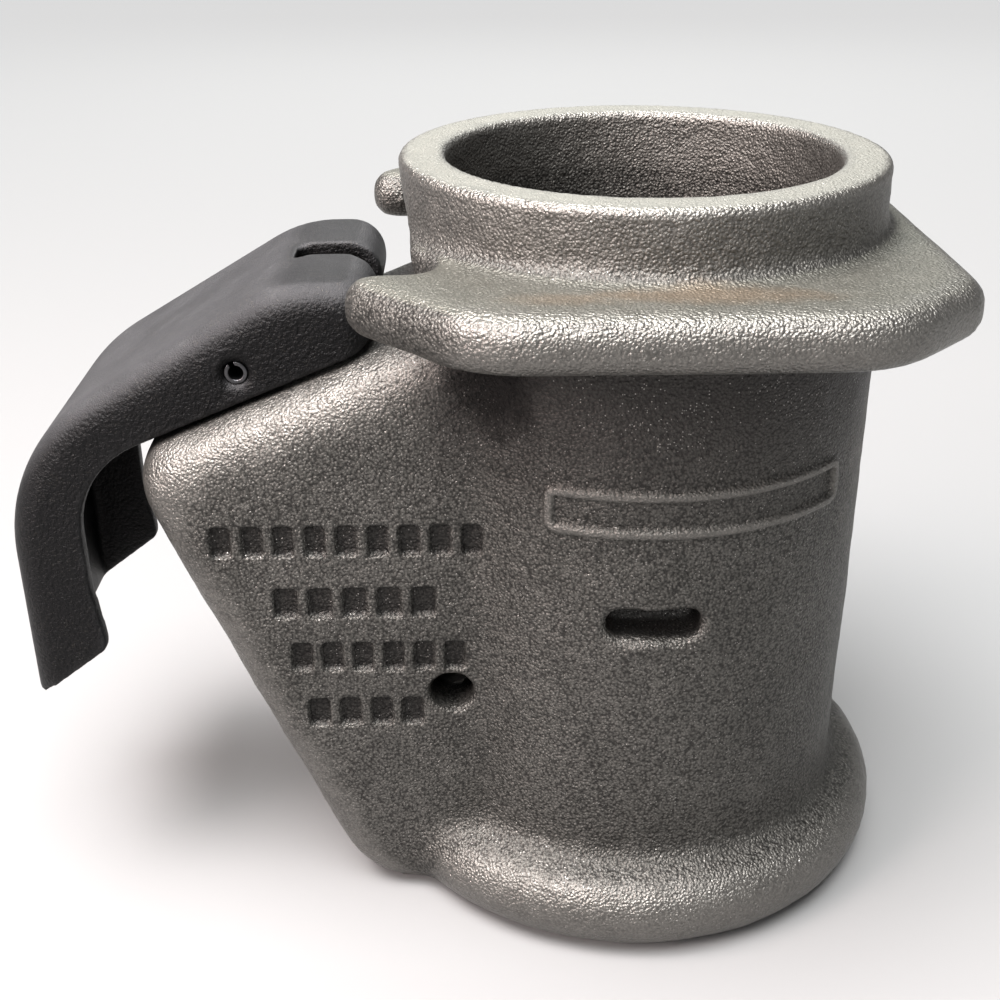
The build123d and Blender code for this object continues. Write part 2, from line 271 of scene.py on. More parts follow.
class SharedEffects:
    """The node groups that several finishes use."""

    def __init__(self) -> None:
        """Build each group once."""
        self.grain = self._grain()
        self.wear = self._wear()
        self.specks = self._specks()

    @staticmethod
    def _grain() -> bpy.types.NodeTree:
        """A surface of packed grains: Height from 0 to 1, and the Pits between them.

        Returns:
            The group.
        """
        graph, given, result = new_group(
            "surface_grain",
            {"Vector": ("NodeSocketVector", 0.0), "Frequency": ("NodeSocketFloat", 1400.0),
             "Coarse": ("NodeSocketFloat", 0.5)},
            ("Height", "Pits"))
        fine = graph.node("ShaderNodeTexNoise")
        wide = graph.node("ShaderNodeTexNoise")
        cells = graph.node("ShaderNodeTexVoronoi", feature="F1")
        for texture, share, detail in ((fine, 1.0, 3.0), (wide, 0.33, 2.0), (cells, 0.8, 0.0)):
            graph.feed(texture.inputs["Vector"], given.outputs["Vector"])
            graph.feed(texture.inputs["Scale"], graph.maths("MULTIPLY", given.outputs["Frequency"], share))
            graph.feed(texture.inputs["Detail"], detail)
        grains = graph.maths("SUBTRACT", 1.0, graph.maths("MULTIPLY", cells.outputs["Distance"], 1.3))
        low = graph.maths("MULTIPLY", wide.outputs[0], given.outputs["Coarse"])
        high = graph.maths("ADD", graph.maths("MULTIPLY", fine.outputs[0], 0.6),
                           graph.maths("MULTIPLY", grains, 0.4))
        height = graph.maths("ADD", low, high)
        graph.feed(result.inputs["Height"], height)
        graph.feed(result.inputs["Pits"], graph.step(high, 0.42, 0.30))
        return graph.tree

    @staticmethod
    def _wear() -> bpy.types.NodeTree:
        """Masks of the worn Ridges, which the cast iron also lightens as a painted highlight, and of the
        Hollows, where it paints shade; both read from the skin's own proud attribute.

        Returns:
            The group.
        """
        graph, given, result = new_group(
            "edge_wear",
            {"Vector": ("NodeSocketVector", 0.0), "Reach": ("NodeSocketFloat", 0.0004),
             "Patch Frequency": ("NodeSocketFloat", 160.0), "Ragged": ("NodeSocketFloat", 0.6)},
            ("Ridges", "Hollows"))
        proud = graph.node("ShaderNodeAttribute", attribute_name="proud").outputs["Fac"]
        patch = graph.wired("ShaderNodeTexNoise", {"Vector": given.outputs["Vector"],
                                                   "Scale": given.outputs["Patch Frequency"], "Detail": 4.0})
        share = graph.maths("DIVIDE", proud, given.outputs["Reach"])
        centred = graph.maths("SUBTRACT", patch.outputs[0], 0.5)
        total = graph.maths("ADD", share, graph.maths("MULTIPLY", centred, given.outputs["Ragged"]))
        graph.feed(result.inputs["Ridges"], graph.step(total, 0.15, 1.0))
        graph.feed(result.inputs["Hollows"], graph.step(total, -0.15, -1.0))
        return graph.tree

    @staticmethod
    def _specks() -> bpy.types.NodeTree:
        """Scattered small specks, such as dust or bright grains.

        Returns:
            The group.
        """
        graph, given, result = new_group(
            "scattered_specks",
            {"Vector": ("NodeSocketVector", 0.0), "Frequency": ("NodeSocketFloat", 900.0),
             "Speck Share": ("NodeSocketFloat", 0.15), "Patch Frequency": ("NodeSocketFloat", 60.0)},
            ("Mask",))
        place = given.outputs["Vector"]
        cells = graph.wired("ShaderNodeTexVoronoi", {"Vector": place, "Scale": given.outputs["Frequency"]},
                            feature="F1")
        patch = graph.wired("ShaderNodeTexNoise",
                            {"Vector": place, "Scale": given.outputs["Patch Frequency"]})
        split = graph.wired("ShaderNodeSeparateColor", {0: cells.outputs["Color"]})
        chosen = graph.maths("LESS_THAN", split.outputs[0],
                             graph.maths("MULTIPLY", given.outputs["Speck Share"],
                                         graph.step(patch.outputs[0], 0.35, 0.65)))
        spot = graph.step(cells.outputs["Distance"], 0.45, 0.2)
        graph.feed(result.inputs["Mask"], graph.maths("MULTIPLY", chosen, spot))
        return graph.tree


# ---------------------------------------------------------------------------------------------------
# Finishes
# ---------------------------------------------------------------------------------------------------


class Finish:
    """What every finish shares: a material with one Principled BSDF."""

    name = "finish"

    def begin(self) -> tuple[bpy.types.Material, Graph, bpy.types.Node]:
        """Start the material.

        Returns:
            The material, its graph and its Principled BSDF.
        """
        material = bpy.data.materials.new(self.name)
        material.use_nodes = True
        material.node_tree.nodes.clear()
        graph = Graph(material.node_tree)
        shader = graph.node("ShaderNodeBsdfPrincipled")
        output = graph.node("ShaderNodeOutputMaterial")
        graph.feed(output.inputs["Surface"], shader.outputs[0])
        return material, graph, shader

    @staticmethod
    def bump(graph: Graph, shader: bpy.types.Node, height: object, depth: float,
             under: Optional[bpy.types.NodeSocket] = None, strength: object = 1.0) -> bpy.types.NodeSocket:
        """Raise the surface by a height pattern.

        Args:
            graph: The material's graph.
            shader: Its Principled BSDF.
            height: The pattern's socket, from 0 to 1.
            depth: How far 1 stands above 0, in metres.
            under: The normal of a bump that this one lies on.
            strength: How much of the bump is used.

        Returns:
            The bumped normal's socket.
        """
        made = graph.wired("ShaderNodeBump", {"Strength": strength, "Distance": depth, "Height": height})
        if under is not None:
            graph.feed(made.inputs["Normal"], under)
        graph.feed(shader.inputs["Normal"], made.outputs[0])
        return made.outputs[0]


@dataclass(frozen=True)
class RustStain:
    """A faint patch of rust on the casting."""

    centre: Place
    reach: Place
    share: float = 0.5


@dataclass(frozen=True)
class IronPatterns:
    """The patterns that the iron's colour, sheen and relief share."""

    place: bpy.types.NodeSocket
    grain: bpy.types.Node
    wear: bpy.types.Node
    sparks: bpy.types.Node
    blotch: bpy.types.NodeSocket
    pitted: bpy.types.NodeSocket


@dataclass(frozen=True)
class CastIronFinish(Finish):
    """Raw sand-cast iron: grey-brown, grainy, with a satin sheen on its ridges. Spans are in metres."""

    effects: SharedEffects
    name: str = "raw_cast_iron"
    dark: Colour = (0.047, 0.046, 0.042)
    middle: Colour = (0.079, 0.0765, 0.0705)
    light: Colour = (0.245, 0.235, 0.218)
    # Painted light on faces that turn up: the next colour on the flange top, the one after on the ring's rim
    # top.
    painted_level_light: Colour = (0.215, 0.212, 0.180)
    painted_rim_light: Colour = (0.34, 0.335, 0.30)
    spark: Colour = (0.45, 0.43, 0.41)
    rust: Colour = (0.27, 0.165, 0.085)
    # Dark colour for the grain pits and the pitted patch, and painted shade in the bore and the sunk marks.
    soot_and_shade: Colour = (0.012, 0.011, 0.011)
    # Painted shade under the flange.
    under_flange_shade: Colour = (0.030, 0.027, 0.026)
    metallic: float = 0.85
    roughness: float = 0.50
    grain_size: float = 0.50 * MM
    grain_depth: float = 0.42 * MM
    swell_size: float = 5.5 * MM
    swell_depth: float = 0.30 * MM
    scar_size: float = 1.7 * MM
    scar_depth: float = 0.8 * MM
    scar_share: float = 0.12
    wear_reach: float = 1.1 * MM
    broad_size: float = 34 * MM
    blotch_size: float = 6 * MM
    stains: tuple[RustStain, ...] = ()
    pit_centre: Place = (0.0, 0.0, 0.0)
    pit_reach: float = 14 * MM
    upper_faces: Span = (0.140, 0.149)
    ring_wall: Span = (0.150, 0.154)
    rim_top: Span = (0.1623, 0.1635)
    under_flange: Span = (0.1410, 0.1380)
    shade_rise: Span = (0.092, 0.130)
    shade_start: Span = (0.0490, 0.0500)
    shade_end: Span = (0.0640, 0.0530)
    bore_skin: Span = (0.0505, 0.0480)

    def material(self) -> bpy.types.Material:
        """Build the material.

        Returns:
            The cast iron.
        """
        material, graph, shader = self.begin()
        patterns = self._patterns(graph)
        colour = self._ground(graph, patterns)
        colour = self._zones(graph, patterns, colour)
        colour = self._marks_and_wear(graph, patterns, colour)
        colour = self._stained(graph, patterns, colour)
        graph.feed(shader.inputs["Base Color"], colour)
        shader.inputs["Metallic"].default_value = self.metallic
        shader.inputs["Specular IOR Level"].default_value = 0.5
        graph.feed(shader.inputs["Roughness"], self._sheen(graph, patterns))
        self._relief(graph, shader, patterns)
        return material

    def _patterns(self, graph: Graph) -> IronPatterns:
        """Place the shared patterns.

        Args:
            graph: The material's graph.

        Returns:
            The patterns.
        """
        place = graph.place()
        blotch = graph.noise(place, self.blotch_size, 4.0, 0.65)
        away = graph.wired("ShaderNodeVectorMath", {0: place, 1: self.pit_centre}, operation="DISTANCE")
        wander = graph.maths("MULTIPLY", graph.maths("SUBTRACT", blotch, 0.5), self.pit_reach)
        ragged = graph.maths("ADD", away.outputs["Value"], wander)
        return IronPatterns(
            place=place,
            grain=graph.group(self.effects.grain, Vector=place, Frequency=1.0 / self.grain_size, Coarse=0.22),
            wear=graph.group(self.effects.wear, Vector=place, Reach=self.wear_reach, Patch_Frequency=300.0,
                             Ragged=0.8),
            sparks=graph.group(self.effects.specks, Vector=place, Frequency=2600.0, Speck_Share=0.10,
                               Patch_Frequency=90.0),
            blotch=blotch,
            pitted=graph.step(ragged, self.pit_reach, 0.35 * self.pit_reach))

    def _ground(self, graph: Graph, patterns: IronPatterns) -> bpy.types.NodeSocket:
        """The bare metal's colour, before anything lies on it.

        Args:
            graph: The material's graph.
            patterns: The shared patterns.

        Returns:
            The colour's socket.
        """
        broad = graph.noise(patterns.place, self.broad_size, 5.0, 0.6)
        colour = graph.mix(graph.step(broad, 0.30, 0.62, 0.35, 1.0), self.dark, self.middle)
        colour = graph.mix(graph.step(patterns.blotch, 0.45, 0.75, 0.0, 0.12), colour, self.light)
        bright_grains = graph.step(patterns.grain.outputs["Height"], 0.50, 0.78, 0.0, 0.35)
        colour = graph.mix(bright_grains, colour, self.light)
        return graph.over(patterns.grain.outputs["Pits"], 0.60, colour, self.soot_and_shade)

    def _zones(self, graph: Graph, patterns: IronPatterns,
               colour: bpy.types.NodeSocket) -> bpy.types.NodeSocket:
        """Tint the parts of the casting that differ, paint light on the faces that turn up, and paint shade
        under the flange and inside the bore.
            colour: The colour so far.

        Returns:
            The tinted colour's socket.
        """
        # Level upper faces that turn up are paler, with a green-grey cast: painted light and painted
        # reflection.
        split = graph.wired("ShaderNodeSeparateXYZ", {0: patterns.place})
        height = split.outputs["Z"]
        normal = graph.node("ShaderNodeNewGeometry").outputs["Normal"]
        facing = graph.wired("ShaderNodeSeparateXYZ", {0: normal})
        level = graph.step(facing.outputs["Z"], 0.75, 0.97)
        upper = graph.maths("MULTIPLY", level, graph.step(height, *self.upper_faces))
        colour = graph.over(upper, 0.55, colour, self.painted_level_light)
        colour = graph.mix(graph.step(height, *self.ring_wall, 0.0, 0.28), colour, self.light)

        # Painted shade: the barrel's skin just under the flange is darkened, and the inside below the flange
        # is dark.
        across = graph.wired("ShaderNodeCombineXYZ", {0: split.outputs["X"], 1: split.outputs["Y"]})
        length = graph.wired("ShaderNodeVectorMath", {0: across.outputs[0]}, operation="LENGTH")
        radius = length.outputs["Value"]
        below = graph.step(height, *self.under_flange)
        skin = graph.maths("MULTIPLY", graph.step(radius, *self.shade_start),
                           graph.step(radius, *self.shade_end))
        flange_shade_band = graph.maths("MULTIPLY", below, graph.step(height, *self.shade_rise))
        colour = graph.over(graph.maths("MULTIPLY", flange_shade_band, skin), 0.75, colour, self.under_flange_shade)
        # Painted shade inside the bore.
        inside = graph.maths("MULTIPLY", below, graph.step(radius, *self.bore_skin))
        colour = graph.over(inside, 0.80, colour, self.soot_and_shade)
        # Painted light on the up-facing top of the ring's rim.
        rim = graph.maths("MULTIPLY", level, graph.step(height, *self.rim_top))
        return graph.over(rim, 0.75, colour, self.painted_rim_light)

    def _marks_and_wear(self, graph: Graph, patterns: IronPatterns,
                        colour: bpy.types.NodeSocket) -> bpy.types.NodeSocket:
        """Lighten the ridges as rubbed wear and a painted highlight, paint shade into the hollows and the
        sunk marks, rub the raised frame bright, and add painted glints.
            patterns: The shared patterns.
            colour: The colour so far.

        Returns:
            The worn colour's socket.
        """
        recess = graph.node("ShaderNodeAttribute", attribute_name="recess").outputs["Fac"]
        raised = graph.node("ShaderNodeAttribute", attribute_name="raised").outputs["Fac"]
        # Ridges: rubbed wear, with a painted highlight on the convex edges.
        colour = graph.over(patterns.wear.outputs["Ridges"], 0.45, colour, self.light)
        # Painted shade in the hollows.
        colour = graph.over(patterns.wear.outputs["Hollows"], 0.35, colour, self.dark)
        # Painted shade in the sunk marks.
        colour = graph.over(recess, 0.72, colour, self.soot_and_shade)
        colour = graph.over(raised, 0.45, colour, self.light)
        # Painted glints: bright specks, which are also smoother in the roughness.
        return graph.over(patterns.sparks.outputs["Mask"], 0.6, colour, self.spark)

    def _stained(self, graph: Graph, patterns: IronPatterns,
                 colour: bpy.types.NodeSocket) -> bpy.types.NodeSocket:
        """Add the rust stains and darken the pitted patch.

        Args:
            graph: The material's graph.
            patterns: The shared patterns.
            colour: The colour so far.

        Returns:
            The finished colour's socket.
        """
        for stain in self.stains:
            feeds = {"Vector": patterns.place, "Location": stain.centre, "Scale": stain.reach}
            near = graph.wired("ShaderNodeMapping", feeds, vector_type="TEXTURE")
            away = graph.wired("ShaderNodeVectorMath", {0: near.outputs[0]}, operation="LENGTH")
            edge = graph.maths("ADD", away.outputs["Value"], graph.maths("MULTIPLY", patterns.blotch, 0.8))
            colour = graph.mix(graph.step(edge, 1.25, 0.55, 0.0, stain.share), colour, self.rust)
        return graph.over(patterns.pitted, 0.75, colour, self.soot_and_shade)

    def _sheen(self, graph: Graph, patterns: IronPatterns) -> bpy.types.NodeSocket:
        """How rough the iron is: smoother on worn ridges, rougher where it is pitted.

        Args:
            graph: The material's graph.
            patterns: The shared patterns.

        Returns:
            The roughness's socket.
        """
        spread = graph.maths("MULTIPLY", graph.maths("SUBTRACT", patterns.blotch, 0.5), 0.25)
        rubbed = graph.maths("MULTIPLY", patterns.wear.outputs["Ridges"], 0.12)
        bright = graph.maths("MULTIPLY", patterns.sparks.outputs["Mask"], 0.2)
        rough = graph.maths("ADD", self.roughness, spread)
        rough = graph.maths("SUBTRACT", graph.maths("SUBTRACT", rough, rubbed), bright)
        return graph.maths("ADD", rough, graph.maths("MULTIPLY", patterns.pitted, 0.25), clamp=True)

    def _relief(self, graph: Graph, shader: bpy.types.Node, patterns: IronPatterns) -> None:
        """Bump the surface: a slow swell, scattered scars, and the grain.

        Args:
            graph: The material's graph.
            shader: Its Principled BSDF.
            patterns: The shared patterns.
        """
        slow = graph.noise(patterns.place, self.swell_size, 3.0, 0.6, 0.6)
        swell = self.bump(graph, shader, slow, self.swell_depth)
        pits = graph.step(graph.noise(patterns.place, self.scar_size, 3.0, 0.7, 0.8), 0.30, 0.62)
        share = graph.maths("ADD", self.scar_share, graph.maths("MULTIPLY", patterns.pitted, 0.8), clamp=True)
        scars = self.bump(graph, shader, pits, self.scar_depth, swell, share)
        self.bump(graph, shader, patterns.grain.outputs["Height"], self.grain_depth, scars)


@dataclass(frozen=True)
class MetalFinish(Finish):
    """Turned or drawn metal with a fine lay and a film of oil."""

    effects: SharedEffects
    name: str = "bright_steel"
    base: Colour = (0.55, 0.55, 0.56)
    stained: Colour = (0.33, 0.30, 0.27)
    metallic: float = 1.0
    roughness: float = 0.32
    lay_size: float = 0.35 * MM
    lay_depth: float = 0.012 * MM
    blotch_share: float = 0.5

    def material(self) -> bpy.types.Material:
        """Build the material.

        Returns:
            The metal.
        """
        material, graph, shader = self.begin()
        place = graph.place()
        grain = graph.group(self.effects.grain, Vector=place, Frequency=1.0 / self.lay_size, Coarse=0.3)
        cloud = graph.noise(place, 5 * MM, 4.0, 0.6, 0.4)
        colour = graph.mix(graph.step(cloud, 0.42, 0.7, 0.0, self.blotch_share), self.base, self.stained)
        colour = graph.over(grain.outputs["Pits"], 0.35, colour, self.stained)
        graph.feed(shader.inputs["Base Color"], colour)
        shader.inputs["Metallic"].default_value = self.metallic
        spread = graph.maths("MULTIPLY", graph.maths("SUBTRACT", cloud, 0.45), 0.5)
        graph.feed(shader.inputs["Roughness"], graph.maths("ADD", self.roughness, spread, clamp=True))
        self.bump(graph, shader, grain.outputs["Height"], self.lay_depth)
        return material


@dataclass(frozen=True)
class MouldedFinish(Finish):
    """Charcoal-black moulding: pebbled sides, a smoother scuffed upper face with painted light, and a glossy
    inside.
    """

    effects: SharedEffects
    name: str = "black_moulding"
    side: Colour = (0.0030, 0.0030, 0.0033)
    # Painted light: a lighter copy of the black for faces that turn up.
    lit_top: Colour = (0.044, 0.044, 0.046)
    scuff: Colour = (0.085, 0.085, 0.087)
    dust: Colour = (0.12, 0.11, 0.09)
    specular: float = 0.14
    pebble_size: float = 0.70 * MM
    pebble_depth: float = 0.40 * MM
    fine_share: float = 0.4
    fine_depth: float = 0.22 * MM
    wave_size: float = 4 * MM
    wave_depth: float = 0.12 * MM
    wear_reach: float = 0.9 * MM
    cloud_size: float = 13 * MM
    scuff_size: float = 1.6 * MM

    def material(self) -> bpy.types.Material:
        """Build the material.

        Returns:
            The moulding.
        """
        material, graph, shader = self.begin()
        place = graph.place()
        pebble = graph.group(self.effects.grain, Vector=place, Frequency=1.0 / self.pebble_size, Coarse=0.25)
        fine = graph.group(self.effects.grain, Vector=place,
                           Frequency=1.0 / (self.fine_share * self.pebble_size), Coarse=0.25)
        wear = graph.group(self.effects.wear, Vector=place, Reach=self.wear_reach, Patch_Frequency=260.0,
                           Ragged=0.7)
        dust = graph.group(self.effects.specks, Vector=place, Frequency=2400.0, Speck_Share=0.16,
                           Patch_Frequency=120.0)
        normal = graph.node("ShaderNodeNewGeometry").outputs["Normal"]
        split = graph.wired("ShaderNodeSeparateXYZ", {0: normal})
        sideways = graph.step(graph.maths("ABSOLUTE", split.outputs["Y"]), 0.70, 0.86)
        upwards = graph.maths("MULTIPLY", graph.step(split.outputs["Z"], 0.25, 0.85),
                              graph.step(split.outputs["Z"], 0.92, 0.99, 1.0, 0.5))
        cloud = graph.noise(place, self.cloud_size, 5.0, 0.6, 0.3)
        scuffs = graph.noise(place, self.scuff_size, 5.0, 0.72, 0.5)

        # Faces that turn up take the lighter copy of the black as painted light; the side colour is the
        # moulding's own black.
        colour = graph.mix(graph.maths("MULTIPLY", upwards, graph.step(cloud, 0.30, 0.70, 0.78, 1.0)),
                           self.side, self.lit_top)
        worn = graph.maths("MULTIPLY", graph.step(scuffs, 0.52, 0.72), graph.step(cloud, 0.40, 0.62))
        colour = graph.over(graph.maths("MULTIPLY", worn, upwards), 0.45, colour, self.scuff)
        colour = graph.over(wear.outputs["Ridges"], 0.18, colour, self.scuff)
        settled = graph.maths("MULTIPLY", dust.outputs["Mask"], graph.step(upwards, 0.0, 1.0, 0.12, 0.45))
        colour = graph.mix(settled, colour, self.dust)
        graph.feed(shader.inputs["Base Color"], colour)
        shader.inputs["Specular IOR Level"].default_value = self.specular
        rough = graph.step(upwards, 0.0, 1.0, 0.42, 0.50)
        rough = graph.maths("ADD", rough, graph.maths("MULTIPLY", graph.maths("SUBTRACT", scuffs, 0.5), 0.25))
        graph.feed(shader.inputs["Roughness"], rough)
        wavy = self.bump(graph, shader, graph.noise(place, self.wave_size, 2.0), self.wave_depth)
        grainy = self.bump(graph, shader, fine.outputs["Height"], self.fine_depth, wavy)
        self.bump(graph, shader, pebble.outputs["Height"], self.pebble_depth, grainy, sideways)
        return material


# ---------------------------------------------------------------------------------------------------
# Mesh work
# ---------------------------------------------------------------------------------------------------


def new_piece(name: str, mesh: bpy.types.Mesh) -> bpy.types.Object:
    """Put a mesh in the scene as a piece at the origin.

    Args:
        name: The piece's name.
        mesh: Its mesh, in metres and in place.

    Returns:
        The piece.
    """
    piece = bpy.data.objects.new(name, mesh)
    bpy.context.scene.collection.objects.link(piece)
    return piece


def copied_shell(node: str, name: str) -> bpy.types.Object:
    """A copy of a CAD node with its loose triangles joined.

    Args:
        node: The CAD node.
        name: The copy's name.

    Returns:
        The copy.
    """
    shell = bmesh.new()
    shell.from_mesh(frame["nodes"][node].data)
    bmesh.ops.remove_doubles(shell, verts=shell.verts, dist=0.0005 * MM)
    mesh = bpy.data.meshes.new(name)
    shell.to_mesh(mesh)
    shell.free()
    return new_piece(name, mesh)


def settle(piece: bpy.types.Object) -> bpy.types.Object:
    """Make a piece's modifiers part of its mesh, and remove them.

    Args:
        piece: The piece with its modifiers.

    Returns:
        The same piece.
    """
    depsgraph = bpy.context.evaluated_depsgraph_get()
    mesh = bpy.data.meshes.new_from_object(piece.evaluated_get(depsgraph))
    piece.modifiers.clear()
    former = piece.data
    piece.data = mesh
    bpy.data.meshes.remove(former)
    mesh.name = piece.name
    return piece


def grow(piece: bpy.types.Object, tree: bpy.types.NodeTree, values: dict[str, object]) -> None:
    """Run a Geometry Nodes tree over a piece and keep the result.

    Args:
        piece: The piece.
        tree: The tree.
        values: Its inputs, by name.
    """
    modifier = piece.modifiers.new(tree.name, "NODES")
    modifier.node_group = tree
    inputs = {item.name: item.identifier for item in tree.interface.items_tree
              if item.item_type == "SOCKET" and item.in_out == "INPUT"}
    for label, value in values.items():
        modifier[inputs[label]] = value
    settle(piece)


def even_skin(piece: bpy.types.Object, pitch: float) -> None:
    """Rebuild a closed shell as even quads.

    Args:
        piece: The shell.
        pitch: The quads' side in metres.
    """
    remesh = piece.modifiers.new("even_skin", "REMESH")
    remesh.mode = "VOXEL"
    remesh.voxel_size = pitch
    remesh.use_smooth_shade = True
    settle(piece)


def points_of(mesh: bpy.types.Mesh) -> np.ndarray:
    """A mesh's vertex places.

    Args:
        mesh: The mesh.

    Returns:
        One row of X, Y and Z for each vertex.
    """
    flat = np.empty(len(mesh.vertices) * 3, np.float64)
    mesh.vertices.foreach_get("co", flat)
    return flat.reshape(-1, 3)


def refine(piece: bpy.types.Object, inside: Callable[[np.ndarray], np.ndarray]) -> None:
    """Halve the quads' size where a test holds.

    Args:
        piece: The piece.
        inside: Takes the vertices' places and says which are inside the zone.
    """
    chosen = inside(points_of(piece.data))
    work = bmesh.new()
    work.from_mesh(piece.data)
    edges = [edge for edge in work.edges if chosen[edge.verts[0].index] and chosen[edge.verts[1].index]]
    bmesh.ops.subdivide_edges(work, edges=edges, cuts=1, use_grid_fill=True)
    work.to_mesh(piece.data)
    work.free()


def lie_on(piece: bpy.types.Object, node: str) -> None:
    """Bring a piece's vertices back onto a CAD node's surface.

    Args:
        piece: The piece.
        node: The CAD node.
    """
    wrap = piece.modifiers.new("lie_on", "SHRINKWRAP")
    wrap.target = frame["nodes"][node]
    wrap.wrap_method = "NEAREST_SURFACEPOINT"
    settle(piece)


def ramp(values: np.ndarray, low: float, high: float) -> np.ndarray:
    """A smooth rise from 0 at low to 1 at high.

    Args:
        values: The numbers that are read.
        low: Where the rise begins.
        high: Where it ends.

    Returns:
        The rise for each value.
    """
    share = np.clip((values - low) / (high - low), 0.0, 1.0)
    return share * share * (3.0 - 2.0 * share)


def ease(piece: bpy.types.Object, shares: np.ndarray, passes: int) -> None:
    """Round a piece's edges further where a share says so.

    Args:
        piece: The piece.
        shares: How strongly each vertex is eased, from 0 to 1.
        passes: How many times the vertices move towards their neighbours.
    """
    eased = piece.vertex_groups.new(name="eased")
    for place in np.flatnonzero(shares):
        eased.add([int(place)], float(shares[place]), "REPLACE")
    smooth = piece.modifiers.new("ease", "SMOOTH")
    smooth.factor = 0.5
    smooth.iterations = passes
    smooth.vertex_group = eased.name
    settle(piece)
    piece.vertex_groups.clear()


def store(mesh: bpy.types.Mesh, name: str, values: np.ndarray) -> None:
    """Store one number for each vertex.

    Args:
        mesh: The mesh.
        name: The attribute's name.
        values: One number for each vertex.
    """
    if name in mesh.attributes:
        mesh.attributes.remove(mesh.attributes[name])
    mesh.attributes.new(name, "FLOAT", "POINT").data.foreach_set("value", values.astype(np.float32))


def new_geometry_tree(name: str, inputs: dict[str, str]) -> tuple[Graph, bpy.types.Node]:
    """Start a Geometry Nodes tree with named inputs and one shape as its result.

    Args:
        name: The tree's name.
        inputs: Each input's kind of socket.

    Returns:
        The tree's graph and its input node.
    """
    tree = bpy.data.node_groups.new(name, "GeometryNodeTree")
    for label, kind in inputs.items():
        tree.interface.new_socket(label, in_out="INPUT", socket_type=f"NodeSocket{kind}")
    tree.interface.new_socket("Geometry", in_out="OUTPUT", socket_type="NodeSocketGeometry")
    graph = Graph(tree)
    return graph, graph.node("NodeGroupInput")


def close_geometry_tree(graph: Graph, given: bpy.types.Node,
                        shape: bpy.types.NodeSocket) -> bpy.types.NodeTree:
    """End a Geometry Nodes tree with a real mesh in the given material.

    Args:
        graph: The tree's graph.
        given: Its input node.
        shape: The finished shape's socket.

    Returns:
        The tree.
    """
    realised = graph.wired("GeometryNodeRealizeInstances", {0: shape})
    dressed = graph.wired("GeometryNodeSetMaterial",
                          {"Geometry": realised.outputs[0], "Material": given.outputs["Material"]})
    graph.wired("NodeGroupOutput", {0: dressed.outputs[0]})
    return graph.tree


@dataclass(frozen=True)
class SkinTree:
    """Geometry Nodes that soften a skin's edges, roughen it, and note where it stands proud."""

    name: str = "cast_skin"

    def build(self) -> bpy.types.NodeTree:
        """Build the tree.

        Returns:
            The tree, with named inputs for the softening and the two sizes of unevenness.
        """
        graph, given = new_geometry_tree(self.name, {
            "Geometry": "Geometry", "Softening": "Int", "Wide Softening": "Int", "Swell Depth": "Float",
            "Swell Frequency": "Float", "Lump Depth": "Float", "Lump Frequency": "Float",
            "Material": "Material"})
        place = graph.node("GeometryNodeInputPosition").outputs[0]
        normal = graph.node("GeometryNodeInputNormal").outputs[0]
        named = graph.wired("GeometryNodeInputNamedAttribute", {"Name": "as_cast"}, data_type="FLOAT")
        as_cast = named.outputs["Attribute"]

        soft = self._blurred(graph, place, given.outputs["Softening"])
        blend = graph.wired("ShaderNodeMix", {0: as_cast, 4: place, 5: soft}, data_type="VECTOR")
        softened = graph.wired("GeometryNodeSetPosition",
                               {"Geometry": given.outputs["Geometry"], "Position": blend.outputs[1]})

        wide = self._blurred(graph, place, given.outputs["Wide Softening"])
        away = graph.wired("ShaderNodeVectorMath", {0: place, 1: wide}, operation="SUBTRACT")
        proud = graph.wired("ShaderNodeVectorMath", {0: away.outputs[0], 1: normal}, operation="DOT_PRODUCT")
        feeds = {"Name": "proud", "Geometry": softened.outputs[0], "Value": proud.outputs["Value"]}
        noted = graph.wired("GeometryNodeStoreNamedAttribute", feeds, data_type="FLOAT", domain="POINT")

        uneven = graph.maths("ADD", self._rise(graph, place, given, "Swell"),
                             self._rise(graph, place, given, "Lump"))
        feeds = {0: normal, "Scale": graph.maths("MULTIPLY", uneven, as_cast)}
        push = graph.wired("ShaderNodeVectorMath", feeds, operation="SCALE")
        roughened = graph.wired("GeometryNodeSetPosition",
                                {"Geometry": noted.outputs[0], "Offset": push.outputs[0]})
        return close_geometry_tree(graph, given, roughened.outputs[0])

    @staticmethod
    def _blurred(graph: Graph, place: bpy.types.NodeSocket, passes: object) -> bpy.types.NodeSocket:
        """A position averaged with its neighbours.

        Args:
            graph: The tree's graph.
            place: The position's socket.
            passes: How many times it is averaged.

        Returns:
            The averaged position's socket.
        """
        made = graph.node("GeometryNodeBlurAttribute", data_type="FLOAT_VECTOR")
        vectors = [socket for socket in made.inputs if socket.name == "Value" and socket.enabled]
        graph.feed(vectors[0], place)
        graph.feed(made.inputs["Iterations"], passes)
        return [socket for socket in made.outputs if socket.enabled][0]

    @staticmethod
    def _rise(graph: Graph, place: bpy.types.NodeSocket, given: bpy.types.Node,
              label: str) -> bpy.types.NodeSocket:
        """One size of unevenness, from minus half its depth to plus half.

        Args:
            graph: The tree's graph.
            place: The position's socket.
            given: The tree's input node.
            label: The start of its two inputs' names.

        Returns:
            The rise's socket, in metres.
        """
        feeds = {"Vector": place, "Scale": given.outputs[f"{label} Frequency"], "Detail": 2.0}
        noise = graph.wired("ShaderNodeTexNoise", feeds)
        centred = graph.maths("SUBTRACT", noise.outputs[0], 0.5)
        return graph.maths("MULTIPLY", centred, given.outputs[f"{label} Depth"])


@dataclass(frozen=True)
class SkinSettings:
    """How much a skin is softened and roughened."""

    softening: int = 3
    wide_softening: int = 14
    swell_depth: float = 0.0
    swell_size: float = 16 * MM
    lump_depth: float = 0.0
    lump_size: float = 4 * MM


